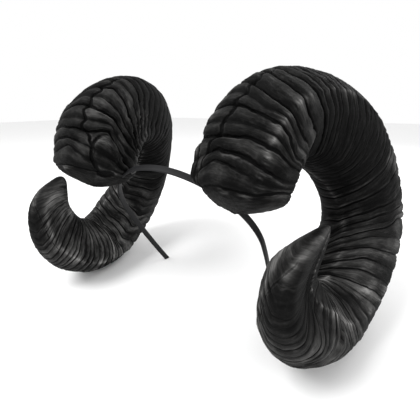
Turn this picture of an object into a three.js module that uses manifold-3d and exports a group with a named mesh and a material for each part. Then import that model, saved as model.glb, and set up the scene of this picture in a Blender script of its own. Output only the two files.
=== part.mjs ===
import * as THREE from 'three';
import { ParametricGeometry } from 'three/addons/geometries/ParametricGeometry.js';
import { mergeVertices } from 'three/addons/utils/BufferGeometryUtils.js';
import Module from 'manifold-3d';

// A costume headband with a pair of curled ram horns.
// Millimetres, +Z up. The wearer looks along -Y, and +X is the wearer's left.
// The headband stands on its two feet and the lowest ring of each horn, with z = 0 under them.

// Horn: the line through the middle of the horn
const curlReach = 118;
const curlDepth = 124;
const curlHeight = 120;

// Horn: how far along the line a section looks ahead and back for its direction, as a share of the line
const bendSmoothing = 0.045;

// Horn: the section. A boxiness of 2 is an ellipse. The twists are in degrees.
const baseDiameter = 60;
const boxiness = 2.4;
const sidewaysShare = 0.96;
const baseTwist = 18;
const tipTwist = 34;
const capLength = 16;
const capTaper = 0.6;

// Horn: the growth rings. A groove's depth is a share of the radius. The rings lean by an angle in
// degrees, which grows from nothing over a share of the line at the base and fades over one at the tip.
const grooveShare = 0.065;
const ringLean = 12;
const leanGrows = 0.25;
const leanFades = 0.125;
const stationsPerRing = 2;
const hornSides = 24;

// Headband. The span is between the middles of the two legs. The lean is in degrees, top forward.
const bandSpan = 128;
const bandWidth = 5;
const bandThickness = 1.6;
const bandCorner = 0.4;
const bandLean = 33;
const legInset = 6;
const bandSteps = 61;

// Where the headband passes through the foot of each horn, as shares of the base diameter
const seat = { inward: 0.225, back: 0.16, down: 0.225 };
const slotClearance = 0.3;

// Sections of the left horn from its base to its tip. out is a share of curlReach from the middle
// plane, back a share of curlDepth from the foremost section, up a share of curlHeight from the lowest
// section, thick a share of baseDiameter, and rings is the count of rings from the base end.
const sections = [
  { out: 0.52, back: 0.14, up: 0.695, thick: 0.95, rings: 2 },
  { out: 0.54, back: 0.22, up: 0.87, thick: 1.00, rings: 3.5 },
  { out: 0.57, back: 0.39, up: 0.985, thick: 0.935, rings: 5.5 },
  { out: 0.635, back: 0.62, up: 1.00, thick: 0.95, rings: 8.5 },
  { out: 0.75, back: 0.815, up: 0.905, thick: 0.985, rings: 13 },
  { out: 0.865, back: 0.95, up: 0.73, thick: 0.95, rings: 17.5 },
  { out: 0.96, back: 1.00, up: 0.495, thick: 0.935, rings: 22 },
  { out: 1.00, back: 0.91, up: 0.27, thick: 0.935, rings: 25.5 },
  { out: 0.975, back: 0.70, up: 0.11, thick: 0.95, rings: 29 },
  { out: 0.93, back: 0.46, up: 0.00, thick: 0.90, rings: 32.5 },
  { out: 0.89, back: 0.225, up: 0.01, thick: 0.80, rings: 36.5 },
  { out: 0.86, back: 0.04, up: 0.165, thick: 0.715, rings: 40 },
  { out: 0.88, back: 0.00, up: 0.395, thick: 0.515, rings: 42.5 },
  { out: 0.935, back: 0.16, up: 0.57, thick: 0.115, rings: 44 },
];

const hornFinish = new THREE.MeshStandardMaterial({ color: 0x3a3938, roughness: 0.6, metalness: 0 });
const bandFinish = new THREE.MeshStandardMaterial({ color: 0x17171a, roughness: 0.4, metalness: 0 });

const wasm = await Module();
wasm.setup();

function splineThrough(points) {
  return new THREE.CatmullRomCurve3(points, false, 'catmullrom', 0.5);
}

const middleLine = splineThrough(sections.map((section) => new THREE.Vector3(
  section.out * curlReach, section.back * curlDepth, section.up * curlHeight)));
const radiusLine = splineThrough(sections.map((section) => new THREE.Vector3(
  section.thick * baseDiameter / 2, 0, 0)));
const middleLength = middleLine.getLength();
const capRings = sections[0].rings;
const ringTotal = sections[sections.length - 1].rings;

// The share of the middle line at which a given count of rings is reached.
function shareAtRing(count) {
  const next = Math.max(1, sections.findIndex((section) => section.rings >= count));
  const before = sections[next - 1];
  const within = (count - before.rings) / (sections[next].rings - before.rings);
  return (next - 1 + within) / (sections.length - 1);
}

// Outward is away from the middle of the curl, sideways is away from the head. Forward is the
// direction between two points a little before and after the section, so that tight bends turn evenly.
function frameAt(share) {
  const before = middleLine.getPoint(Math.max(0, share - bendSmoothing));
  const after = middleLine.getPoint(Math.min(1, share + bendSmoothing));
  const forward = after.sub(before).normalize();
  const sideways = new THREE.Vector3(1, 0, 0);
  sideways.addScaledVector(forward, -forward.x).normalize();
  const outward = new THREE.Vector3().crossVectors(sideways, forward);
  const twist = THREE.MathUtils.degToRad(THREE.MathUtils.lerp(baseTwist, tipTwist, share));
  outward.applyAxisAngle(forward, -twist);
  sideways.applyAxisAngle(forward, -twist);
  return { forward, outward, sideways };
}

// The rounded-box section: its radius at an angle, as a share of the half thickness.
function sectionShare(angle) {
  const along = Math.abs(Math.cos(angle)) ** boxiness;
  const across = Math.abs(Math.sin(angle)) ** boxiness;
  return (along + across) ** (-1 / boxiness);
}

// A point on the skin of the left horn. around and along run from 0 to 1.
function hornSkin(around, along, target) {
  const angle = around * 2 * Math.PI;
  const count = along * ringTotal;
  const grooved = 1 - Math.abs(Math.sin(Math.PI * count));
  let share = 0;
  let capShare = 0;
  if (count < capRings) {
    capShare = Math.cos(Math.PI / 2 * count / capRings);
  } else {
    share = shareAtRing(count);
    const leaning = Math.min(1, share / leanGrows, (1 - share) / leanFades);
    const radius = radiusLine.getPoint(share).x;
    const lean = radius * Math.tan(THREE.MathUtils.degToRad(ringLean)) * leaning;
    share -= Math.sin(angle) * lean / middleLength;
  }
  const { forward, outward, sideways } = frameAt(share);
  const capNarrowing = (1 - capShare ** 2) ** capTaper;
  const radius = radiusLine.getPoint(share).x * (1 - grooveShare * grooved) * capNarrowing;
  const tipNarrowing = along < 1 ? 1 : 0;
  const reach = radius * sectionShare(angle) * tipNarrowing;
  target.copy(middleLine.getPoint(share));
  target.addScaledVector(forward, -capLength * capShare);
  target.addScaledVector(outward, reach * Math.cos(angle));
  target.addScaledVector(sideways, reach * Math.sin(angle) * sidewaysShare);
}

// A closed geometry as a solid: shared corners are merged and the flat triangles at poles dropped.
function solidFrom(geometry) {
  geometry.deleteAttribute('normal');
  geometry.deleteAttribute('uv');
  const merged = mergeVertices(geometry, 1e-3);
  const corners = merged.index.array;
  const kept = [];
  for (let i = 0; i < corners.length; i += 3) {
    const [a, b, c] = [corners[i], corners[i + 1], corners[i + 2]];
    if (a !== b && b !== c && c !== a) kept.push(a, b, c);
  }
  return new wasm.Manifold(new wasm.Mesh({
    numProp: 3,
    vertProperties: new Float32Array(merged.attributes.position.array),
    triVerts: new Uint32Array(kept),
  }));
}

function geometryFrom(solid) {
  const { vertProperties, triVerts } = solid.getMesh();
  const geometry = new THREE.BufferGeometry();
  geometry.setAttribute('position', new THREE.BufferAttribute(vertProperties, 3));
  geometry.setIndex(new THREE.BufferAttribute(triVerts, 1));
  geometry.computeVertexNormals();
  return geometry;
}

// The same shape on the other side of the head, with its faces turned to point outwards again.
function mirrorImage(geometry) {
  const mirrored = geometry.clone().scale(-1, 1, 1);
  mirrored.index.array.reverse();
  mirrored.computeVertexNormals();
  return mirrored;
}

function namedMesh(geometry, name, finish) {
  const mesh = new THREE.Mesh(geometry, finish);
  mesh.name = name;
  return mesh;
}

// The horn stands on the floor, with its front and back equally far from the middle.
function hornPlace(geometry) {
  geometry.computeBoundingBox();
  const { min, max } = geometry.boundingBox;
  return new THREE.Vector3(0, -(min.y + max.y) / 2, -min.z);
}

const stations = ringTotal * stationsPerRing;
const hornGeometry = new ParametricGeometry(hornSkin, hornSides, stations);
const place = hornPlace(hornGeometry);
hornGeometry.translate(place.x, place.y, place.z);

// The line of the headband in its own flat plane: an arch over the head, then a leg on each side
// that draws in towards its foot.
class BandLine extends THREE.Curve {
  constructor(radius, legLength) {
    super();
    this.radius = radius;
    this.legLength = legLength;
  }

  getPoint(share, target = new THREE.Vector3()) {
    const archLength = Math.PI * this.radius;
    const distance = share * (archLength + 2 * this.legLength);
    const side = share < 0.5 ? 1 : -1;
    const fromFoot = share < 0.5 ? distance : archLength + 2 * this.legLength - distance;
    if (fromFoot < this.legLength) {
      const below = 1 - fromFoot / this.legLength;
      return target.set(side * (this.radius - legInset * below ** 2), -below * this.legLength, 0);
    }
    const angle = (fromFoot - this.legLength) / this.radius;
    return target.set(side * this.radius * Math.cos(angle), this.radius * Math.sin(angle), 0);
  }
}

function bandSection(width, thickness, corner) {
  const [w, t] = [width / 2, thickness / 2];
  return new THREE.Shape([
    new THREE.Vector2(w - corner, t), new THREE.Vector2(corner - w, t),
    new THREE.Vector2(-w, t - corner), new THREE.Vector2(-w, corner - t),
    new THREE.Vector2(corner - w, -t), new THREE.Vector2(w - corner, -t),
    new THREE.Vector2(w, corner - t), new THREE.Vector2(w, t - corner),
  ]);
}

// The band passes through the foot of the horn, so its height and place follow from the horn's base.
function bandPlacement() {
  const base = middleLine.getPoint(0).add(place);
  const lean = THREE.MathUtils.degToRad(bandLean);
  const radius = bandSpan / 2;
  const seatOut = base.x - seat.inward * baseDiameter;
  const seatUp = base.z - seat.down * baseDiameter;
  const seatBack = base.y + seat.back * baseDiameter;
  const rise = Math.sqrt(radius ** 2 - seatOut ** 2);
  const centre = new THREE.Vector3(0, seatBack + rise * Math.sin(lean), seatUp - rise * Math.cos(lean));
  const footOverrun = bandWidth;
  const legLength = centre.z / Math.cos(lean) + footOverrun;
  return { centre, lean, radius, legLength };
}

function bandSolid(growth) {
  const { centre, lean, radius, legLength } = bandPlacement();
  const section = bandSection(bandWidth + 2 * growth, bandThickness + 2 * growth, bandCorner);
  const geometry = new THREE.ExtrudeGeometry(section, {
    extrudePath: new BandLine(radius, legLength),
    steps: bandSteps,
  });
  geometry.rotateX(Math.PI / 2 + lean);
  geometry.translate(centre.x, centre.y, centre.z);
  return solidFrom(geometry);
}

// The feet are trimmed level with the floor.
function trimmedBand() {
  const side = 4 * Math.max(bandSpan, curlReach, curlDepth, curlHeight);
  const aboveFloor = new THREE.BoxGeometry(side, side, side).translate(0, 0, side / 2);
  return bandSolid(0).intersect(solidFrom(aboveFloor));
}

const leftHorn = geometryFrom(solidFrom(hornGeometry).subtract(bandSolid(slotClearance)));

const headpiece = new THREE.Group();
headpiece.add(namedMesh(leftHorn, 'left_horn', hornFinish));
headpiece.add(namedMesh(mirrorImage(leftHorn), 'right_horn', hornFinish));
headpiece.add(namedMesh(geometryFrom(trimmedBand()), 'headband', bandFinish));

export default headpiece;
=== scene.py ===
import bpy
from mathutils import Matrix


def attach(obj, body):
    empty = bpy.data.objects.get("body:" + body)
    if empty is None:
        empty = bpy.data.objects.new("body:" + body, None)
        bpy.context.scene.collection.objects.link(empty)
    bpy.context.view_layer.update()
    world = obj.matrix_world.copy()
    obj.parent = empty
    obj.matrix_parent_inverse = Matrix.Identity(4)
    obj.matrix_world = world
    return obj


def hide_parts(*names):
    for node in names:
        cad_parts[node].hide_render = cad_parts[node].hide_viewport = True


bl_info = {
    "name": "Ram horns headband",
    "version": (1, 0, 0),
    "blender": (4, 5, 0),
    "location": "3D View > Sidebar > Horns",
    "description": "Models a costume headband with a pair of curled ram horns",
    "category": "Add Mesh",
}

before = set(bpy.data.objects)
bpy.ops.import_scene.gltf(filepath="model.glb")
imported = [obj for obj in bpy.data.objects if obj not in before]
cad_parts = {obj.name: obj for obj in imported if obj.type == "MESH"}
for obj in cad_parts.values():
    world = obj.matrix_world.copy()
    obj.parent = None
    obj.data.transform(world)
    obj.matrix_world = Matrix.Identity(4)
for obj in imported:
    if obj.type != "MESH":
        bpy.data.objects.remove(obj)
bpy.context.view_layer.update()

import math

import bmesh
import bpy
import numpy as np
from mathutils import Vector, noise

# Sections of a horn from its base to its tip: out, back and up as shares of the curl's reach, depth
# and height, and thickness as a share of the base diameter.
SECTIONS = (
    (0.52, 0.14, 0.695, 0.95),
    (0.54, 0.22, 0.87, 1.00),
    (0.57, 0.39, 0.985, 0.935),
    (0.635, 0.62, 1.00, 0.95),
    (0.75, 0.815, 0.905, 0.985),
    (0.865, 0.95, 0.73, 0.95),
    (0.96, 1.00, 0.495, 0.935),
    (1.00, 0.91, 0.27, 0.935),
    (0.975, 0.70, 0.11, 0.95),
    (0.93, 0.46, 0.00, 0.90),
    (0.89, 0.225, 0.01, 0.80),
    (0.86, 0.04, 0.165, 0.715),
    (0.88, 0.00, 0.395, 0.515),
    (0.935, 0.16, 0.57, 0.115),
)

# How far a section looks ahead and back for its direction, as a share of the middle line
BEND_SMOOTHING = 0.045

# The dome on the base end, as a share of the middle line. Places on it are below zero.
DOME = 0.07

# The angle of the side where the band runs through the dome, which stays fuller there
BAND_ANGLE = -130

# Angles round the horn in degrees: 0 faces away from the curl, 90 away from the head, 180 into the
# curl and -90 towards the head. Each growth line has its place at each of these angles.
COLUMNS = (-105, -80, -55, -30, 0, 25, 50, 90, 125, 155, 180, 230)

# The cracks of the base from the dome up: their places, and how deep they are, at each column
BASE_LINES = (
    ((-0.024, -0.022, -0.020, -0.014, -0.012, -0.010, 0.004, 0.010, 0.010, 0.004, -0.010, -0.022),
     (0.2, 1.0, 0.4, 0.6, 0.9, 0.9, 0.9, 0.7, 0.4, 0.3, 0.2, 0.1)),
    ((-0.016, -0.010, 0.000, 0.024, 0.016, 0.006, 0.010, 0.020, 0.020, 0.012, 0.000, -0.018),
     (0.0, 0.0, 0.0, 0.6, 0.5, 0.1, 0.0, 0.0, 0.0, 0.0, 0.0, 0.0)),
    ((-0.008, 0.010, 0.024, 0.035, 0.035, 0.025, 0.019, 0.030, 0.032, 0.024, 0.010, -0.014),
     (0.0, 0.0, 0.0, 0.9, 1.0, 0.9, 0.4, 0.1, 0.0, 0.0, 0.0, 0.0)),
    ((0.010, 0.058, 0.049, 0.050, 0.056, 0.052, 0.044, 0.052, 0.060, 0.048, 0.028, -0.008),
     (0.9, 1.0, 1.0, 1.0, 1.0, 1.0, 1.0, 0.8, 0.6, 0.5, 0.5, 0.6)),
    ((0.036, 0.070, 0.066, 0.066, 0.068, 0.066, 0.051, 0.060, 0.069, 0.058, 0.038, 0.014),
     (0.0, 0.0, 0.0, 0.2, 0.3, 0.3, 0.3, 0.1, 0.0, 0.0, 0.0, 0.0)),
    ((0.062, 0.084, 0.084, 0.087, 0.082, 0.080, 0.058, 0.070, 0.080, 0.070, 0.050, 0.038),
     (0.9, 1.0, 1.0, 1.0, 1.0, 1.0, 1.0, 0.8, 0.6, 0.5, 0.5, 0.8)),
    ((0.080, 0.100, 0.106, 0.103, 0.092, 0.091, 0.073, 0.088, 0.098, 0.088, 0.064, 0.048),
     (0.4, 0.5, 0.4, 0.1, 0.0, 0.0, 0.0, 0.0, 0.0, 0.0, 0.1, 0.3)),
    ((0.100, 0.121, 0.132, 0.121, 0.105, 0.102, 0.089, 0.105, 0.116, 0.104, 0.078, 0.060),
     (1.0, 1.0, 1.0, 0.9, 0.8, 0.8, 0.9, 0.8, 0.6, 0.5, 0.5, 0.8)),
    ((0.118, 0.143, 0.152, 0.150, 0.136, 0.133, 0.122, 0.158, 0.168, 0.148, 0.108, 0.076),
     (0.0, 0.0, 0.0, 0.8, 1.0, 1.0, 1.0, 0.9, 0.7, 0.5, 0.3, 0.0)),
    ((0.136, 0.163, 0.172, 0.170, 0.157, 0.163, 0.165, 0.192, 0.225, 0.205, 0.155, 0.096),
     (0.9, 0.9, 0.9, 0.8, 0.7, 0.8, 1.0, 0.9, 0.7, 0.6, 0.6, 0.7)),
)

# The main growth lines of the rest of the horn: their places at each column, how deep they are, and
# how many finer rings lie between each and the line before it
SHAFT_LINES = (
    ((0.378, 0.372, 0.360, 0.352, 0.348, 0.352, 0.365, 0.385, 0.394, 0.404, 0.412, 0.395), 0.7, 12),
    ((0.410, 0.402, 0.390, 0.380, 0.374, 0.377, 0.388, 0.406, 0.414, 0.428, 0.441, 0.430), 0.8, 1),
    ((0.445, 0.435, 0.422, 0.410, 0.404, 0.407, 0.418, 0.435, 0.446, 0.466, 0.495, 0.475), 0.8, 1),
    ((0.498, 0.485, 0.468, 0.450, 0.442, 0.443, 0.452, 0.474, 0.489, 0.521, 0.555, 0.530), 0.9, 1),
    ((0.540, 0.524, 0.505, 0.485, 0.472, 0.470, 0.477, 0.492, 0.512, 0.556, 0.595, 0.575), 0.7, 0),
    ((0.590, 0.570, 0.545, 0.522, 0.508, 0.502, 0.503, 0.510, 0.555, 0.598, 0.624, 0.632), 0.9, 1),
    ((0.630, 0.614, 0.592, 0.570, 0.555, 0.550, 0.556, 0.579, 0.602, 0.636, 0.656, 0.667), 0.9, 1),
    ((0.658, 0.645, 0.622, 0.600, 0.585, 0.580, 0.588, 0.606, 0.627, 0.668, 0.690, 0.691), 0.9, 0),
    ((0.682, 0.669, 0.648, 0.626, 0.612, 0.606, 0.614, 0.633, 0.654, 0.690, 0.712, 0.712), 0.8, 0),
    ((0.712, 0.702, 0.680, 0.660, 0.645, 0.636, 0.640, 0.658, 0.690, 0.724, 0.742, 0.730), 0.8, 0),
    ((0.740, 0.734, 0.722, 0.715, 0.712, 0.716, 0.732, 0.762, 0.778, 0.775, 0.765, 0.750), 0.8, 3),
    ((0.793, 0.788, 0.785, 0.780, 0.775, 0.770, 0.768, 0.826, 0.840, 0.850, 0.845, 0.810), 0.7, 3),
    ((0.830, 0.824, 0.820, 0.818, 0.820, 0.822, 0.824, 0.850, 0.868, 0.875, 0.870, 0.848), 0.7, 2),
    ((0.858, 0.846, 0.837, 0.835, 0.840, 0.848, 0.880, 0.892, 0.900, 0.905, 0.900, 0.875), 0.7, 2),
    ((0.884, 0.866, 0.856, 0.857, 0.866, 0.888, 0.905, 0.915, 0.920, 0.922, 0.918, 0.900), 0.45, 1),
    ((0.900, 0.880, 0.870, 0.874, 0.885, 0.907, 0.922, 0.930, 0.934, 0.936, 0.932, 0.918), 0.4, 1),
    ((0.920, 0.900, 0.888, 0.892, 0.907, 0.926, 0.938, 0.945, 0.950, 0.950, 0.946, 0.936), 0.38, 1),
    ((0.942, 0.924, 0.914, 0.918, 0.930, 0.945, 0.955, 0.960, 0.964, 0.964, 0.961, 0.954), 0.32, 1),
    ((0.964, 0.950, 0.942, 0.945, 0.954, 0.965, 0.971, 0.974, 0.977, 0.977, 0.975, 0.971), 0.25, 1),
)

# Lines that run along the horn, as (place, angle) points
SEAM = ((-0.070, -72), (-0.030, -67), (0.000, -60), (0.015, -56), (0.030, -53), (0.040, -47),
        (0.050, -41), (0.070, -36), (0.090, -34), (0.110, -33), (0.150, -32), (0.170, -30))
OUTER_KEEL = ((-0.070, 20), (0.050, 21), (0.080, 24), (0.100, 27), (0.130, 32), (0.165, 38),
              (0.300, 46), (0.500, 58), (0.600, 67), (0.750, 78), (0.850, 82), (1.000, 70))
INNER_KEEL = ((0.300, 178), (0.500, 176), (0.555, 172), (0.610, 158), (0.660, 150), (0.800, 140))
HEADWARD_KEEL = ((0.500, -60), (0.680, -72), (0.720, -88), (0.820, -92), (0.900, -84))
TIP_RIDGE = ((0.925, -48), (0.936, -44), (0.960, -30), (0.990, -14), (1.000, -12))

# The round bulge on the headward side of the dome: its place and angle, and half its length and width
BULGE = (0.016, -80, 0.036, 19)

# The slot under the bulge, sunk and painted dark as painted shade, in the same way
SLOT = (-0.023, -87, 0.008, 14)

# The fuller part of the tip's headward side, in the same way
FULL_SIDE = (0.955, -112, 0.045, 45)

# The outer side of the tip is flat: the angle that it faces, where it starts and stops being drawn in,
# how far off it starts over the horn's radius, and how sharply it meets the rest
FLAT_ANGLE = 50
FLAT_START = 0.81
FLAT_END = 0.92
FLAT_CLEARANCE = 1.15
FLAT_SHARPNESS = 6

# A crack along the headward side of the tip, as (place, angle) points
TIP_CRACK = ((0.860, -80), (0.872, -78), (0.884, -76), (0.898, -74), (0.909, -68), (0.921, -56),
             (0.935, -42))

# Parts of the horn, each as the place with nothing of it and the place with all of it
BASE_PART = (0.20, 0.15)
SHAFT_PART = (0.17, 0.27)
TIP_PART = (0.86, 0.91)

# The place where the rounded end of the tip starts
TIP_ROUNDING = 0.985

# How the side of a crack falls off: 1 is sharp, 2 is round
CRACK_EDGE = 1.3

# The lights: name, where it stands, and power in watts
LIGHTS = (("key", (-0.35, -0.65, 0.95), 11), ("side", (0.9, -0.2, 0.5), 2.2), ("back", (0.3, 0.8, 0.7), 2.6))


def spline(rows, share):
    """Points at the given shares of the even curve through all the rows."""
    knots = np.array(rows, dtype=float)
    padded = np.vstack([2 * knots[0] - knots[1], knots, 2 * knots[-1] - knots[-2]])
    spans = len(knots) - 1
    scaled = np.clip(share, 0, 1) * spans
    first = np.minimum(scaled.astype(int), spans - 1)
    t = (scaled - first)[..., None]
    a, b, c, d = (padded[first + i] for i in range(4))
    square, cube = 2 * a - 5 * b + 4 * c - d, 3 * b - a - 3 * c + d
    return 0.5 * (2 * b + (c - a) * t + square * t ** 2 + cube * t ** 3)


def unit(vectors):
    """The same directions, each with a length of 1."""
    return vectors / np.linalg.norm(vectors, axis=-1, keepdims=True)


def ramp(value, start, end):
    """0 at start and 1 at end, held past both. The end may lie below the start."""
    return np.clip((value - start) / (end - start), 0, 1)


def between(value, start, full, fading, end):
    """1 from full to fading, and 0 outside of start and end."""
    return ramp(value, start, full) * ramp(value, end, fading)


def hill(distance, half_width, power=2):
    """1 at no distance, falling to about a third at half_width."""
    return np.exp(-(np.abs(distance) / half_width) ** power)


def along_line(line, place):
    """The angle of a lengthwise line at each place."""
    places, angles = zip(*line)
    return np.interp(place, places, angles)


def round_the_horn(values, angle):
    """Values given at COLUMNS, at any angle in degrees, with slightly rounded kinks."""
    total = 0
    for offset, weight in ((-3, 0.25), (0, 0.5), (3, 0.25)):
        total = total + weight * np.interp(angle + offset, COLUMNS, values, period=360)
    return total


def angle_between(a, b):
    """The difference of two angles in degrees, from -180 to 180."""
    return (a - b + 180) % 360 - 180


def noise_at(points, scale, seed):
    """Smooth noise from -1 to 1 at an array of points."""
    flat = (points * scale + seed * 17.3).reshape(-1, 3)
    values = [noise.noise(Vector(point)) for point in flat.tolist()]
    return np.array(values).reshape(points.shape[:-1])


class HornSettings(bpy.types.PropertyGroup):
    """Sizes of a horn"""

    reach: bpy.props.FloatProperty(
        name="Reach", description="From the middle of the head to the furthest section",
        default=0.118, unit="LENGTH")
    depth: bpy.props.FloatProperty(
        name="Depth", description="From the foremost to the hindmost section", default=0.124, unit="LENGTH")
    height: bpy.props.FloatProperty(
        name="Height", description="From the lowest to the highest section", default=0.120, unit="LENGTH")
    base_diameter: bpy.props.FloatProperty(
        name="Base diameter", description="Thickness at the base", default=0.060, unit="LENGTH")
    set_forward: bpy.props.FloatProperty(
        name="Set forward", description="From the foremost section to the middle",
        default=0.0669, unit="LENGTH")
    lift: bpy.props.FloatProperty(
        name="Lift", description="Height of the lowest section over the floor", default=0.0286, unit="LENGTH")
    boxiness: bpy.props.FloatProperty(
        name="Boxiness", description="2 is an ellipse, more is boxier", default=2.4)
    sideways: bpy.props.FloatProperty(
        name="Sideways share", description="Width away from the head over thickness", default=0.96)
    base_twist: bpy.props.FloatProperty(
        name="Base twist", description="Turn of the section at the base",
        default=math.radians(18), subtype="ANGLE")
    tip_twist: bpy.props.FloatProperty(
        name="Tip twist", description="Turn of the section at the tip",
        default=math.radians(34), subtype="ANGLE")
    tip_flatness: bpy.props.FloatProperty(
        name="Tip flatness", description="How far the tip's outer side is drawn in", default=0.9)
    cap_length: bpy.props.FloatProperty(
        name="Cap length", description="Bulge of the base end", default=0.016, unit="LENGTH")
    cap_taper: bpy.props.FloatProperty(
        name="Cap taper", description="Lower is a flatter base end", default=0.95)
    crack_depth: bpy.props.FloatProperty(
        name="Crack depth", description="Depth of the deepest cracks", default=0.0020, unit="LENGTH")
    crack_width: bpy.props.FloatProperty(
        name="Crack width", description="From a crack to its rounded edge", default=0.0010, unit="LENGTH")
    swell: bpy.props.FloatProperty(
        name="Ring swell", description="Height of a ring's crest over its width", default=0.16)
    highest_swell: bpy.props.FloatProperty(
        name="Highest swell", description="Limit on the crest of a wide ring", default=0.0012, unit="LENGTH")
    pit_depth: bpy.props.FloatProperty(
        name="Pit depth", description="Depth of the pits where cracks meet the seam",
        default=0.0012, unit="LENGTH")
    bulge_height: bpy.props.FloatProperty(
        name="Bulge height", description="Height of the bulge on the dome", default=0.0028, unit="LENGTH")
    keel_height: bpy.props.FloatProperty(
        name="Keel height", description="Height of the keels on a ring's crest",
        default=0.0012, unit="LENGTH")
    ridge_height: bpy.props.FloatProperty(
        name="Ridge height", description="Height of the tip's ridge", default=0.0009, unit="LENGTH")
    fullness: bpy.props.FloatProperty(
        name="Tip fullness", description="How far the tip's headward side is filled out",
        default=0.0036, unit="LENGTH")
    lump_height: bpy.props.FloatProperty(
        name="Lump height", description="Height of the soft lumps", default=0.0006, unit="LENGTH")
    streak_height: bpy.props.FloatProperty(
        name="Streak height", description="Height of the streaks round the horn",
        default=0.0004, unit="LENGTH")
    grain_height: bpy.props.FloatProperty(
        name="Grain height", description="Height of the fine grain", default=0.0002, unit="LENGTH")
    sides: bpy.props.IntProperty(name="Sides", description="Points round the horn", default=144)
    row_spacing: bpy.props.FloatProperty(
        name="Row spacing", description="Between points along the horn", default=0.00068, unit="LENGTH")
    seam_shift: bpy.props.FloatProperty(
        name="Seam shift", description="Turn of the left horn's seam, and the other way on the right horn",
        default=math.radians(8), subtype="ANGLE")


class BandSettings(bpy.types.PropertyGroup):
    """Sizes of the headband"""

    span: bpy.props.FloatProperty(
        name="Span", description="Between the middles of the legs", default=0.128, unit="LENGTH")
    width: bpy.props.FloatProperty(
        name="Width", description="Width of the strip", default=0.005, unit="LENGTH")
    thickness: bpy.props.FloatProperty(
        name="Thickness", description="Thickness of the strip", default=0.0016, unit="LENGTH")
    corner: bpy.props.FloatProperty(
        name="Corner", description="Rounding of the strip's edges", default=0.0006, unit="LENGTH")
    lean: bpy.props.FloatProperty(
        name="Lean", description="Lean of the band, top forward", default=math.radians(33), subtype="ANGLE")
    leg_inset: bpy.props.FloatProperty(
        name="Leg inset", description="How far each foot draws in", default=0.006, unit="LENGTH")
    seat_inward: bpy.props.FloatProperty(
        name="Seat inward", description="Seat in the horn, over its diameter", default=0.225)
    seat_back: bpy.props.FloatProperty(
        name="Seat back", description="Seat in the horn, over its diameter", default=0.16)
    seat_down: bpy.props.FloatProperty(
        name="Seat down", description="Seat in the horn, over its diameter", default=0.225)
    sides: bpy.props.IntProperty(name="Sides", description="Points round the strip", default=20)
    stations: bpy.props.IntProperty(name="Stations", description="Steps along the strip", default=180)


class StageSettings(bpy.types.PropertyGroup):
    """Camera and lights"""

    camera_place: bpy.props.FloatVectorProperty(
        name="Camera", description="Where the camera stands", default=(0.1324, -0.2027, 0.1560),
        subtype="TRANSLATION")
    camera_target: bpy.props.FloatVectorProperty(
        name="Target", description="What the camera looks at", default=(0.0, 0.0168, 0.0673),
        subtype="TRANSLATION")
    lens: bpy.props.FloatProperty(name="Lens", description="Focal length in millimetres", default=26.14)
    light_size: bpy.props.FloatProperty(
        name="Light size", description="Side of each light", default=0.5, unit="LENGTH")
    floor_side: bpy.props.FloatProperty(
        name="Floor", description="Side of the floor", default=6.0, unit="LENGTH")
    sky: bpy.props.FloatProperty(
        name="Sky", description="Strength of the light from all round", default=1.0)


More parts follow.
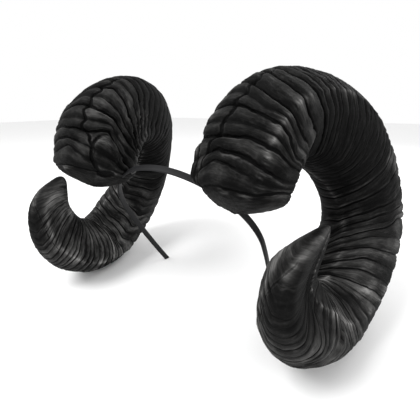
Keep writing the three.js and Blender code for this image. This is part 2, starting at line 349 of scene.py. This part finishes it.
class HornShape:
    """The skin of the left horn, from its sizes. Places are shares of the middle line, angles degrees."""

    def __init__(self, sizes):
        self.sizes = sizes
        self.scale = np.array([sizes.reach, sizes.depth, sizes.height])
        steps = self.middle(np.linspace(0, 1, 801))
        self.length = float(np.linalg.norm(np.diff(steps, axis=0), axis=1).sum())

    def middle(self, place):
        """Points on the middle line."""
        return spline([row[:3] for row in SECTIONS], place) * self.scale

    def radius(self, place):
        """Half the thickness at each place, rounded off at the very tip."""
        thick = spline([row[3:] for row in SECTIONS], place)[..., 0]
        return thick * self.sizes.base_diameter / 2 * np.sqrt(1 - ramp(place, TIP_ROUNDING, 1) ** 2)

    def directions(self, place):
        """Forward, outward and sideways at each place."""
        on_line = np.clip(place, 0, 1)
        ahead = self.middle(on_line + np.minimum(BEND_SMOOTHING, 1 - on_line))
        behind = self.middle(on_line - np.minimum(BEND_SMOOTHING, on_line))
        forward = unit(ahead - behind)
        sideways = unit(np.array([1.0, 0, 0]) - forward[..., :1] * forward)
        outward = np.cross(sideways, forward)
        twist = self.sizes.base_twist + (self.sizes.tip_twist - self.sizes.base_twist) * on_line
        cos, sin = np.cos(twist)[..., None], np.sin(twist)[..., None]
        return forward, outward * cos + sideways * sin, sideways * cos - outward * sin

    def skin(self, angle, place, height=0.0):
        """Points on the skin, raised by height."""
        on_line = np.clip(place, 0, 1)
        dome = ramp(place, 0, -DOME) * math.pi / 2
        forward, outward, sideways = self.directions(place)
        turn = np.radians(angle)
        power = self.sizes.boxiness
        section = (np.abs(np.cos(turn)) ** power + np.abs(np.sin(turn)) ** power) ** (-1 / power)
        taper = self.sizes.cap_taper * (1 - 0.35 * hill(angle_between(angle, BAND_ANGLE), 50, 4))
        reach = self.radius(on_line) * section * np.cos(dome) ** (2 * taper)
        reach = self.flattened(reach, angle, place) + height * np.cos(dome)
        points = self.middle(on_line) - forward * ((self.sizes.cap_length + height) * np.sin(dome))[..., None]
        points = points + outward * (reach * np.cos(turn))[..., None]
        return points + sideways * (reach * np.sin(turn) * self.sizes.sideways)[..., None]

    def flattened(self, reach, angle, place):
        """Draws in the outer side of the tip towards a flat that faces FLAT_ANGLE."""
        share = ramp(place, FLAT_START, FLAT_END)
        drawn_in = self.sizes.tip_flatness * share ** 2 * (3 - 2 * share)
        facing = np.maximum(np.cos(np.radians(angle - FLAT_ANGLE)), 1e-3)
        flat = np.maximum(self.radius(np.clip(place, 0, 1)), 1e-6) * (FLAT_CLEARANCE - drawn_in) / facing
        softened = reach * (1 + (reach / flat) ** FLAT_SHARPNESS) ** (-1 / FLAT_SHARPNESS)
        return np.where(share > 0, softened, reach)

    def growth_lines(self, angle):
        """Places and depths at the given angles of every growth line, from the dome to the tip."""
        places, depths = [], []
        for place_row, depth_row in BASE_LINES:
            places.append(round_the_horn(place_row, angle))
            depths.append(round_the_horn(depth_row, angle))
        for place_row, depth, finer in SHAFT_LINES:
            before, here = places[-1], round_the_horn(place_row, angle)
            finer_depth = depth * (0.6 if finer > 4 else 0.3)
            for i in range(1, finer + 1):
                number = len(places)
                wave = 0.14 * np.sin(np.radians(angle) * (1 + number % 3) + 2.1 * number) / (finer + 1)
                places.append(before + (here - before) * (i / (finer + 1) + wave))
                depths.append(np.full_like(here, finer_depth))
            places.append(here)
            depths.append(np.full_like(here, depth))
        return places, depths


class HornSurface:
    """A grid of points over the horn, with the rings, cracks and wear that each point has."""

    def __init__(self, shape, shift, seed):
        self.shape, self.shift, self.seed = shape, shift, seed
        self.lay_rows()
        self.measure_rings()
        self.mark_cracks()
        self.mark_bulge()
        self.mark_edges()
        self.raise_relief()

    def lay_rows(self):
        """Rows of the grid follow the growth lines, and its first column follows the seam."""
        sizes = self.shape.sizes
        columns = np.linspace(0, 360, sizes.sides + 1)
        crowding, row_crowding = 18, 0.4
        spread = columns - crowding * np.sin(np.radians(columns))
        seam = along_line(SEAM, 0.05) + self.shift
        lines, _ = self.shape.growth_lines(spread + seam)
        edges = [np.full(columns.shape, -DOME)] + lines + [np.ones(columns.shape)]
        counts = []
        for lower, upper in zip(edges, edges[1:]):
            length = float(np.mean(upper - lower)) * self.shape.length
            counts.append(max(4, round(length / sizes.row_spacing)))
        self.edge_rows = np.cumsum([0] + counts)
        self.cell = np.append(np.repeat(np.arange(len(counts)), counts), len(counts) - 1)
        within = np.concatenate([np.arange(count) / count for count in counts] + [[1.0]])
        within = within - row_crowding * np.sin(2 * math.pi * within) / (2 * math.pi)
        row = np.arange(len(self.cell))
        angle = np.tile(spread + seam, (len(row), 1))
        # The seam's angle hangs on the place and the place on the angle, so both are found in turns
        for _ in range(3):
            places, depths = self.shape.growth_lines(angle)
            blank = np.zeros_like(angle)
            places = np.stack([blank - DOME] + places + [blank + 1])
            depths = np.stack([blank] + depths + [blank])
            lower, upper = places[self.cell, row], places[self.cell + 1, row]
            self.place = lower + (upper - lower) * within[:, None]
            angle = spread + along_line(SEAM, self.place) + self.shift + self.wander()
        self.angle = angle
        self.depth_before, self.depth_after = depths[self.cell, row], depths[self.cell + 1, row]
        self.shaft = ramp(self.place, *SHAFT_PART)

    def wander(self):
        """The seam zigzags a little as it crosses the rings."""
        return 2.5 * between(self.place, 0, 0.02, 0.15, 0.20) * np.sin(self.place * 260)

    def measure_rings(self):
        """Distances in metres to the growth lines on both sides of each point."""
        plain = self.shape.skin(self.angle, self.place)
        steps = np.linalg.norm(np.diff(plain, axis=0), axis=2)
        travelled = np.vstack([np.zeros(steps.shape[1]), np.cumsum(steps, axis=0)])
        starts, ends = self.edge_rows[self.cell], self.edge_rows[self.cell + 1]
        self.after_line = travelled - travelled[starts]
        self.before_line = travelled[ends] - travelled
        self.width = np.maximum(self.after_line + self.before_line, 1e-5)
        turn = np.radians(self.angle)
        self.reach = np.maximum(self.shape.radius(np.clip(self.place, 0, 1)), 0.004)
        along = np.broadcast_to(travelled.mean(axis=1, keepdims=True), turn.shape)
        self.flow = np.stack([np.cos(turn) * self.reach, np.sin(turn) * self.reach, along], axis=-1)

    def line_distance(self, line, shift=0.0):
        """Distance in metres round the horn to a lengthwise line."""
        away = angle_between(self.angle, along_line(line, self.place) + shift)
        return np.radians(np.abs(away)) * self.reach

    def reaches(self, line, fade):
        """1 along a lengthwise line, fading past its ends."""
        first, last = line[0][0], line[-1][0]
        return between(self.place, first - fade, first, last, last + fade)

    def away_from(self, patch):
        """0 in the middle of a round patch and 1 on its edge."""
        place, angle, half_length, half_width = patch
        return np.hypot((self.place - place) / half_length, angle_between(self.angle, angle) / half_width)

    def facing(self, angle, half_width):
        """1 on the side of the horn that faces an angle, fading at half_width from it."""
        return hill(angle_between(self.angle, angle), half_width, 4)

    def mark_cracks(self):
        """The cracks between the rings, the seam, the crack of the tip, and the pits along the seam, all sunk
        into the skin and painted dark as painted shade.
        """
        base_width = self.shape.sizes.crack_width
        width = base_width * (1 - 0.3 * self.shaft)
        on_base = between(self.place, -0.034, -0.022, 0.155, 0.175)
        from_seam = self.line_distance(SEAM, self.shift + self.wander())
        seam = on_base * hill(from_seam, base_width, CRACK_EDGE)
        stray = noise_at(self.flow, 130, self.seed + 7) + 0.6 * noise_at(self.flow, 330, self.seed + 8)
        stray = stray * np.clip(self.width / 0.008, 0.1, 1) * np.where(self.place < 0.25, 0.0012, 0.0006)
        self.below = self.before_line - stray
        rings = np.maximum(self.depth_before * hill(self.after_line + stray, width, CRACK_EDGE),
                           self.depth_after * hill(self.below, width, CRACK_EDGE))
        of_tip = self.reaches(TIP_CRACK, 0.01) * hill(self.line_distance(TIP_CRACK), 0.8 * width, CRACK_EDGE)
        # Cracks, seam and tip crack are painted dark as painted shade over their sunk relief
        self.crack = np.maximum(rings, np.maximum(seam, 0.6 * of_tip))
        to_line = np.minimum(self.after_line, self.before_line)
        nearest = np.where(self.after_line < self.before_line, self.depth_before, self.depth_after)
        # The pits are sunk and painted near black as painted shade
        self.pit = on_base * nearest * hill(from_seam, 0.0024) * hill(to_line, 0.0018)

    def mark_bulge(self):
        """The bulge on the dome with its rim, the slot under it, and the fuller side of the tip. The rim on
        the seam side and the slot are painted dark as painted shade, and the bulge has a painted highlight
        above and painted shade below.
        """
        place, angle, half_length, half_width = BULGE
        away = self.away_from(BULGE)
        self.bulge = np.sqrt(np.clip(1 - away ** 2, 0, 1))
        # The rim on the seam side and the slot are sunk and painted dark as painted shade
        seam_side = np.clip(0.3 + angle_between(self.angle, angle) / half_width, 0, 1)
        rim = 0.8 * hill(away - 1, 0.12) * seam_side
        self.slot = np.clip(2 - 1.6 * self.away_from(SLOT), 0, 1)
        clear_of_bulge = np.clip(1.6 * away - 0.9, 0, 1)
        self.crack = np.maximum(np.maximum(self.crack * clear_of_bulge, rim), self.slot)
        # A painted highlight on the upper part of the bulge, turning to painted shade at its bottom
        higher_up = (self.place - place) / half_length
        self.bulge_highlight_and_shade = (away < 1.05) * np.clip(0.3 + 1.3 * higher_up, -0.5, 1)
        self.full_side = hill(self.away_from(FULL_SIDE), 1)

    def mark_edges(self):
        """The lips over the cracks, painted lighter as painted highlights, the keels, the tip's ridge and the
        band beside the outer keel.
        """
        # A painted highlight on the lip beside each crack, stronger on the dome's first ring and near the tip
        first = ramp(self.place, 0.01, 0) * self.facing(15, 50)
        lip_highlight = hill(self.below - 0.0014, 0.0006) + 2.5 * first * hill(self.below - 0.0028, 0.0014)
        self.lip_highlight = lip_highlight * self.depth_after * (1 + 0.8 * ramp(self.place, 0.84, 0.88)) * (1 - self.slot)
        from_keel = angle_between(self.angle, along_line(OUTER_KEEL, self.place))
        self.side_band = between(from_keel, 0, 4, 30, 38) * between(self.place, 0.36, 0.41, 0.71, 0.76)
        self.keel = np.maximum.reduce([
            self.reaches(line, 0.03) * hill(self.line_distance(line), 0.003, 1)
            for line in (OUTER_KEEL, INNER_KEEL, HEADWARD_KEEL)])
        self.ridge = self.reaches(TIP_RIDGE, 0.02) * hill(self.line_distance(TIP_RIDGE), 0.0022)

    def raise_relief(self):
        """Raises and sinks the skin by the rings, cracks, keels and lumps, and sets each ring's painted
        highlight and painted shade.
        """
        sizes = self.shape.sizes
        share = np.clip(self.after_line / self.width, 0, 1)
        self.crest = np.sin(math.pi * share) ** (0.6 - 0.15 * self.shaft)
        # The light share is painted light: a painted highlight on each ring's crest and painted shade on its
        # underside, towards the line before it on the base and the line after it along the shaft, evened out
        # towards the tip
        shaded = np.where(self.place < 0.3, ramp(self.place, *BASE_PART) * (1 - share) ** 1.5,
                          ramp(self.place, 0.4, 0.5) * share ** 1.5)
        evened = 0.6 * ramp(self.place, *TIP_PART)
        self.light = np.clip(self.crest * (1 - 0.7 * shaded), 0, 1) * (1 - evened) + 0.7 * evened
        self.lumps = noise_at(self.flow * (1, 1, 0.8), 90, self.seed)
        self.streaks = noise_at(self.flow * (1, 1, 5), 160, self.seed + 3)
        grain = noise_at(self.flow * (1, 1, 6), 420, self.seed + 5)
        strength = 0.35 + 0.65 * np.minimum(1, (self.depth_before + self.depth_after) / 1.6)
        swell = np.minimum(sizes.swell * self.width, sizes.highest_swell) * strength
        ring = swell * (self.crest - 0.7) * ramp(self.place, -DOME, 0) ** 0.5
        slender = 1 - (0.68 + 0.22 * hill(angle_between(self.angle, 85), 35)) * self.shaft
        height = (slender * (ring - sizes.crack_depth * self.crack) - sizes.pit_depth * self.pit
                  + sizes.bulge_height * self.bulge + sizes.keel_height * self.keel * self.crest)
        calm_side = self.facing(42, 52) * ramp(self.place, 0.11, 0.07)
        height = height * (1 - 0.65 * calm_side) + sizes.lump_height * self.lumps
        height = height + sizes.streak_height * self.streaks + sizes.grain_height * grain
        height = height + sizes.ridge_height * self.ridge + sizes.fullness * self.full_side
        near_tip = np.maximum(ramp(self.place, 1, 0.92), 0.15)
        self.points = self.shape.skin(self.angle, self.place, height * near_tip)

    def tone(self):
        """How light the horn is from place to place, about 1: by part and by the side it faces, from ring to
        ring at random, with the bulge's painted highlight and painted shade.
        """
        headward, inward = self.facing(-105, 70), self.facing(-130, 60)
        arch = between(self.place, 0.13, 0.19, 0.40, 0.55)
        shaft = between(self.place, 0.55, 0.63, 0.82, 0.88)
        dome = ramp(self.place, -0.015, -0.035)
        base, tip = ramp(self.place, *BASE_PART), ramp(self.place, *TIP_PART)
        tone = 1.12 - 0.97 * arch * (1 - 0.3 * self.facing(0, 60)) + shaft * (0.35 + 0.4 * headward)
        tone = tone + headward * (0.3 * base - 0.6 * dome) + tip * (1.7 * inward - 0.5)
        tone = tone + 0.8 * self.side_band * np.clip(0.6 + 2 * self.lumps, 0, 1.5) + 0.7 * self.bulge_highlight_and_shade
        ring = 0.16 * np.sin(2.4 * self.cell + 1.3 * np.sin(1.7 * self.cell))[:, None]
        return np.maximum(tone + ring * (1 - 0.7 * tip), 0.2)

    def wear_and_highlights(self):
        """Light chips on the keels where each ring's crest crosses them, partly worn and partly painted
        highlight, a painted highlight along the tip's ridge, and painted highlights on the lips.
        """
        chips = np.clip(0.5 + 1.6 * self.lumps + 1.4 * self.streaks, 0, 1)
        lips = 0.5 * self.lip_highlight * np.clip(0.5 + 1.5 * self.lumps, 0, 1)
        return np.clip(1.05 * self.keel ** 1.5 * self.crest * chips + 0.6 * self.ridge + lips, 0, 1.2)


def finished_mesh(bm, name):
    """Closes a grid whose edges meet, smooths it, and gives it as a mesh."""
    bmesh.ops.remove_doubles(bm, verts=bm.verts, dist=1e-6)
    bmesh.ops.recalc_face_normals(bm, faces=bm.faces)
    for face in bm.faces:
        face.smooth = True
    mesh = bpy.data.meshes.new(name)
    bm.to_mesh(mesh)
    bm.free()
    return mesh


def horn_mesh(surface, mirrored, name):
    """The grid of a horn surface as a closed mesh with its colour attributes."""
    rows, columns = surface.place.shape
    bm = bmesh.new()
    bm.loops.layers.uv.new("Unwrap")
    bmesh.ops.create_grid(bm, x_segments=columns - 1, y_segments=rows - 1, size=1, calc_uvs=True)
    # The cracks and pits are painted dark as painted shade, the light values give painted highlights on ring
    # crests and painted shade on their undersides, and the keel chips, ridge and lips are painted lighter,
    # partly worn and partly as painted highlights
    values = {"crack": np.maximum(surface.crack, surface.pit), "wear_and_highlights": surface.wear_and_highlights(),
              "tone": surface.tone(), "light": surface.light}
    layers = {key: bm.verts.layers.float.new(key) for key in values}
    flow_layer = bm.verts.layers.float_vector.new("flow")
    points = (surface.points * (-1 if mirrored else 1, 1, 1)).tolist()
    flow = surface.flow.tolist()
    values = {key: value.tolist() for key, value in values.items()}
    for vert in bm.verts:
        column = round((vert.co.x + 1) / 2 * (columns - 1))
        row = round((vert.co.y + 1) / 2 * (rows - 1))
        vert.co = points[row][column]
        vert[flow_layer] = flow[row][column]
        for key, layer in layers.items():
            vert[layer] = values[key][row][column]
    return finished_mesh(bm, name)


def stand_on_floor(mesh, set_forward):
    """Moves a horn forward to its place and down until it rests on the floor."""
    shift = Vector((0, -set_forward, -min(vertex.co.z for vertex in mesh.vertices)))
    for vertex in mesh.vertices:
        vertex.co += shift


def add_piece(mesh, name, node, material):
    """Puts a mesh in the scene as a piece that stands for a node of the frame."""
    piece = bpy.data.objects.new(name, mesh)
    bpy.context.scene.collection.objects.link(piece)
    mesh.materials.append(material)
    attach(piece, "root")
    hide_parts(node)


class Maths:
    """A socket that can be added, multiplied and so on to make shader nodes."""

    def __init__(self, tree, socket):
        self.tree, self.socket = tree, socket

    def made(self, operation, first, second=None, clamp=False):
        """A math node's result. Each of its inputs is a socket or a number."""
        node = self.tree.nodes.new("ShaderNodeMath")
        node.operation = operation
        node.use_clamp = clamp
        for place, value in enumerate((first, second)):
            if isinstance(value, Maths):
                self.tree.links.new(value.socket, node.inputs[place])
            elif value is not None:
                node.inputs[place].default_value = value
        return Maths(self.tree, node.outputs[0])

    def __add__(self, other):
        return self.made("ADD", self, other)

    def __radd__(self, other):
        return self.made("ADD", other, self)

    def __sub__(self, other):
        return self.made("SUBTRACT", self, other)

    def __rsub__(self, other):
        return self.made("SUBTRACT", other, self)

    def __mul__(self, other):
        return self.made("MULTIPLY", self, other)

    def __rmul__(self, other):
        return self.made("MULTIPLY", other, self)

    def __abs__(self):
        return self.made("ABSOLUTE", self)

    def __pow__(self, exponent):
        return self.made("POWER", self, exponent)

    def clamped(self):
        """Held from 0 to 1."""
        return self.made("ADD", self, 0.0, clamp=True)

    def clamped_low(self):
        """Held at 0 or more."""
        return self.made("MAXIMUM", self, 0.0)


class Paint:
    """A new material's node tree, with its shader."""

    def __init__(self, name):
        self.material = bpy.data.materials.new(name)
        self.material.use_nodes = True
        self.tree = self.material.node_tree
        self.shader = self.tree.nodes["Principled BSDF"]

    def add(self, kind, settings=None, values=None, links=None, output=0):
        """Adds a node with its settings, input values and input links, and returns one of its outputs."""
        node = self.tree.nodes.new(kind)
        for key, value in (settings or {}).items():
            setattr(node, key, value)
        for key, value in (values or {}).items():
            node.inputs[key].default_value = value
        for key, value in (links or {}).items():
            self.tree.links.new(value.socket, node.inputs[key])
        return Maths(self.tree, node.outputs[output])

    def attribute(self, name, output="Fac"):
        """A value that each point of the mesh holds."""
        return self.add("ShaderNodeAttribute", {"attribute_name": name}, output=output)

    def stretched(self, vector, scale):
        """A vector with each of its parts scaled."""
        return self.add("ShaderNodeVectorMath", {"operation": "MULTIPLY"}, {1: scale}, {0: vector})

    def noise(self, vector, scale, detail=4.0):
        """Noise from 0 to 1 at a vector."""
        return self.add("ShaderNodeTexNoise", values={"Scale": scale, "Detail": detail, "Roughness": 0.55},
                        links={"Vector": vector})

    def bump(self, height, strength, distance):
        """Feeds the surface's finest relief."""
        self.feed("Normal", self.add("ShaderNodeBump", values={"Strength": strength, "Distance": distance},
                                     links={"Height": height}))

    def grey(self, level, dark, light):
        """A colour between two by a level."""
        return self.add("ShaderNodeMix", {"data_type": "RGBA"}, {6: (*dark, 1), 7: (*light, 1)},
                        {"Factor": level}, output=2)

    def feed(self, socket, value):
        """Links a value to the shader."""
        self.tree.links.new(value.socket, self.shader.inputs[socket])

    def set(self, socket, value):
        """Sets a value that is the same all over."""
        self.shader.inputs[socket].default_value = value


def horn_material():
    """Charcoal horn: streaked and patchy, with cracks painted black as painted shade, painted highlights on
    ring crests with painted shade on their undersides, and lighter edges that are partly worn and partly
    painted highlight.
    """
    paint = Paint("Charcoal horn")
    flow = paint.attribute("flow", "Vector")
    crack, wear_and_highlights = paint.attribute("crack"), paint.attribute("wear_and_highlights")
    tone, light = paint.attribute("tone"), paint.attribute("light")
    streaks = paint.noise(paint.stretched(flow, (1, 1, 6)), 130, 5)
    fine = paint.noise(paint.stretched(flow, (1, 1, 9)), 420, 3)
    patches = paint.noise(flow, 55, 3)
    ragged = paint.noise(flow, 380, 3)
    # The noise makes the edge of each crack ragged, with a thin light shoulder beside it
    edge = crack + 0.5 * ragged - 0.25
    # The cracks are painted near black as painted shade
    dark = ((edge - 0.3) * 3.2).clamped()
    shoulder = (1 - abs((edge - 0.18) * 6)).clamped()
    # The light value adds a painted highlight on ring crests and painted shade on their undersides
    level = 1.4 * streaks + 1.0 * fine + 2.9 * patches - 2.7 + 1.2 * light
    level = 0.13 * level.clamped_low() * tone * (1 - 0.95 * dark)
    # Light chips, partly worn and partly painted highlight, and painted highlights on the ridge and lips
    level = level + (0.28 * wear_and_highlights + 0.05 * shoulder) * streaks * 2
    paint.feed("Base Color", paint.grey(level.clamped() ** 2.2, (0, 0, 0), (1, 0.985, 0.965)))
    paint.feed("Roughness", 0.5 + 0.25 * streaks + 0.12 * fine)
    paint.bump(0.6 * streaks + 0.4 * fine - 0.5 * dark, 0.5, 0.0009)
    paint.set("Specular IOR Level", 0.07)
    return paint.material


def band_material():
    """Black plastic with a faint grain and scuffs."""
    paint = Paint("Black band")
    place = paint.add("ShaderNodeTexCoord", output="Object")
    grain = paint.noise(place, 900, 3)
    scuffs = paint.noise(paint.stretched(place, (1, 1, 0.3)), 160, 5)
    level = (0.3 * grain + 0.6 * scuffs).clamped()
    paint.feed("Base Color", paint.grey(level, (0.003, 0.003, 0.0035), (0.012, 0.012, 0.013)))
    paint.feed("Roughness", 0.42 + 0.3 * scuffs)
    paint.bump(grain, 0.2, 0.0002)
    paint.set("Specular IOR Level", 0.2)
    return paint.material


class HORNS_OT_horn(bpy.types.Operator):
    """Adds one ram horn"""

    bl_idname = "horns.horn"
    bl_label = "Ram horn"

    right: bpy.props.BoolProperty(
        name="Right horn", description="The horn on the wearer's right", default=False)

    def execute(self, context):
        sizes = context.scene.horn_sizes
        side, turned, seed = ("right", -1, 4) if self.right else ("left", 1, 1)
        node = side + "_horn"
        surface = HornSurface(HornShape(sizes), turned * math.degrees(sizes.seam_shift), seed)
        mesh = horn_mesh(surface, self.right, node)
        stand_on_floor(mesh, sizes.set_forward)
        material = bpy.data.materials.get("Charcoal horn") or horn_material()
        add_piece(mesh, "ram_horn_" + side, node, material)
        return {"FINISHED"}


class BandShape:
    """The line of the headband and its section."""

    def __init__(self, sizes, horn_sizes):
        self.sizes = sizes
        base = HornShape(horn_sizes).middle(np.array([0.0]))[0]
        diameter = horn_sizes.base_diameter
        self.radius = sizes.span / 2
        out = base[0] - sizes.seat_inward * diameter
        back = base[1] - horn_sizes.set_forward + sizes.seat_back * diameter
        up = base[2] + horn_sizes.lift - sizes.seat_down * diameter
        rise = math.sqrt(self.radius ** 2 - out ** 2)
        self.down = Vector((0, math.sin(sizes.lean), -math.cos(sizes.lean)))
        self.normal = Vector((0, math.cos(sizes.lean), math.sin(sizes.lean)))
        self.centre = Vector((0, back, up)) + rise * self.down
        self.leg = self.centre.z / math.cos(sizes.lean)
        self.length = math.pi * self.radius + 2 * self.leg

    def point(self, distance):
        """The middle of the strip, and the direction along it, at a distance from the left foot."""
        side = 1 if distance < self.length / 2 else -1
        from_foot = min(distance, self.length - distance)
        if from_foot < self.leg:
            below = 1 - from_foot / self.leg
            flat = (side * (self.radius - self.sizes.leg_inset * below ** 2), -below * self.leg)
            along = (2 * self.sizes.leg_inset * below / self.leg, side)
        else:
            turn = (from_foot - self.leg) / self.radius
            flat = (side * self.radius * math.cos(turn), self.radius * math.sin(turn))
            along = (-math.sin(turn), side * math.cos(turn))
        middle = self.centre + Vector((flat[0], 0, 0)) - flat[1] * self.down
        forward = (Vector((along[0], 0, 0)) - along[1] * self.down).normalized()
        return middle, forward

    def outline(self):
        """Points round the strip's section, as (across its width, across its thickness)."""
        sizes = self.sizes
        half_width = sizes.width / 2 - sizes.corner
        half_thickness = sizes.thickness / 2 - sizes.corner
        points = []
        for i in range(sizes.sides):
            turn = 2 * math.pi * (i + 0.5) / sizes.sides
            wide, thick = math.cos(turn) * sizes.corner, math.sin(turn) * sizes.corner
            points.append((math.copysign(half_width, wide) + wide,
                           math.copysign(half_thickness, thick) + thick))
        return points


class HORNS_OT_headband(bpy.types.Operator):
    """Adds the slim headband"""

    bl_idname = "horns.headband"
    bl_label = "Headband"

    def execute(self, context):
        sizes = context.scene.band_sizes
        shape = BandShape(sizes, context.scene.horn_sizes)
        outline = shape.outline()
        # Two more rows at each foot close its end
        last_row = sizes.stations + 4
        bm = bmesh.new()
        bm.loops.layers.uv.new("Unwrap")
        bmesh.ops.create_grid(bm, x_segments=len(outline), y_segments=last_row, size=1, calc_uvs=True)
        for vert in bm.verts:
            column = round((vert.co.x + 1) / 2 * len(outline)) % len(outline)
            row = round((vert.co.y + 1) / 2 * last_row)
            from_end = min(row, last_row - row)
            station = min(max(row - 2, 0), sizes.stations)
            middle, forward = shape.point(shape.length * station / sizes.stations)
            across = shape.normal.cross(forward)
            shrink = {0: 0.0, 1: 0.8}.get(from_end, 1.0)
            wide, thick = outline[column]
            point = middle + shrink * (wide * shape.normal + thick * across)
            if from_end <= 2:
                point = point - forward * (point.z / forward.z)
                point.z = 0.0002 if from_end == 2 else 0.0
            vert.co = point
        add_piece(finished_mesh(bm, "headband"), "headband_strip", "headband", band_material())
        return {"FINISHED"}


def aim(thing, target):
    """Turns a camera or a light towards a point."""
    thing.rotation_euler = (Vector(target) - thing.location).to_track_quat("-Z", "Y").to_euler()


class HORNS_OT_stage(bpy.types.Operator):
    """Adds the camera, the lights and the floor"""

    bl_idname = "horns.stage"
    bl_label = "Stage"

    def execute(self, context):
        scene, sizes = context.scene, context.scene.stage_sizes
        self.floor(scene, sizes)
        camera = bpy.data.objects.new("camera", bpy.data.cameras.new("camera"))
        camera.location = sizes.camera_place
        aim(camera, sizes.camera_target)
        camera.data.lens = sizes.lens
        camera.data.clip_start = 0.01
        scene.collection.objects.link(camera)
        scene.camera = camera
        for name, place, power in LIGHTS:
            self.light(scene, name, place, power, sizes.light_size)
        scene.world = scene.world or bpy.data.worlds.new("studio")
        scene.world.use_nodes = True
        background = scene.world.node_tree.nodes["Background"]
        background.inputs["Color"].default_value = (1, 1, 1, 1)
        background.inputs["Strength"].default_value = sizes.sky
        scene.view_settings.view_transform = "Standard"
        return {"FINISHED"}

    def floor(self, scene, sizes):
        """A plain pale floor."""
        bm = bmesh.new()
        bmesh.ops.create_grid(bm, x_segments=1, y_segments=1, size=sizes.floor_side / 2)
        mesh = bpy.data.meshes.new("floor")
        bm.to_mesh(mesh)
        bm.free()
        paint = Paint("Pale floor")
        paint.set("Base Color", (0.86, 0.86, 0.86, 1))
        paint.set("Roughness", 0.9)
        mesh.materials.append(paint.material)
        floor = bpy.data.objects.new("floor", mesh)
        scene.collection.objects.link(floor)

    def light(self, scene, name, place, power, size):
        """A soft square light aimed at the horns."""
        lamp = bpy.data.lights.new(name, "AREA")
        lamp.energy = power
        lamp.size = size
        thing = bpy.data.objects.new(name, lamp)
        thing.location = place
        aim(thing, (0, 0, 0.08))
        scene.collection.objects.link(thing)


class HORNS_PT_sidebar(bpy.types.Panel):
    """The horns' panel in the sidebar"""

    bl_label = "Ram horns headband"
    bl_space_type = "VIEW_3D"
    bl_region_type = "UI"
    bl_category = "Horns"

    def draw(self, context):
        for settings in (context.scene.horn_sizes, context.scene.band_sizes, context.scene.stage_sizes):
            box = self.layout.box()
            for key in settings.bl_rna.properties.keys():
                if key not in ("rna_type", "name"):
                    box.prop(settings, key)
        for operator in ("horns.horn", "horns.headband", "horns.stage"):
            self.layout.operator(operator)


CLASSES = (HornSettings, BandSettings, StageSettings, HORNS_OT_horn, HORNS_OT_headband, HORNS_OT_stage,
           HORNS_PT_sidebar)


def register():
    for cls in CLASSES:
        bpy.utils.register_class(cls)
    bpy.types.Scene.horn_sizes = bpy.props.PointerProperty(type=HornSettings)
    bpy.types.Scene.band_sizes = bpy.props.PointerProperty(type=BandSettings)
    bpy.types.Scene.stage_sizes = bpy.props.PointerProperty(type=StageSettings)


def unregister():
    del bpy.types.Scene.stage_sizes
    del bpy.types.Scene.band_sizes
    del bpy.types.Scene.horn_sizes
    for cls in reversed(CLASSES):
        bpy.utils.unregister_class(cls)


def main():
    register()
    bpy.ops.horns.horn(right=False)
    bpy.ops.horns.horn(right=True)
    bpy.ops.horns.headband()
    bpy.ops.horns.stage()


if __name__ == "__main__":
    main()
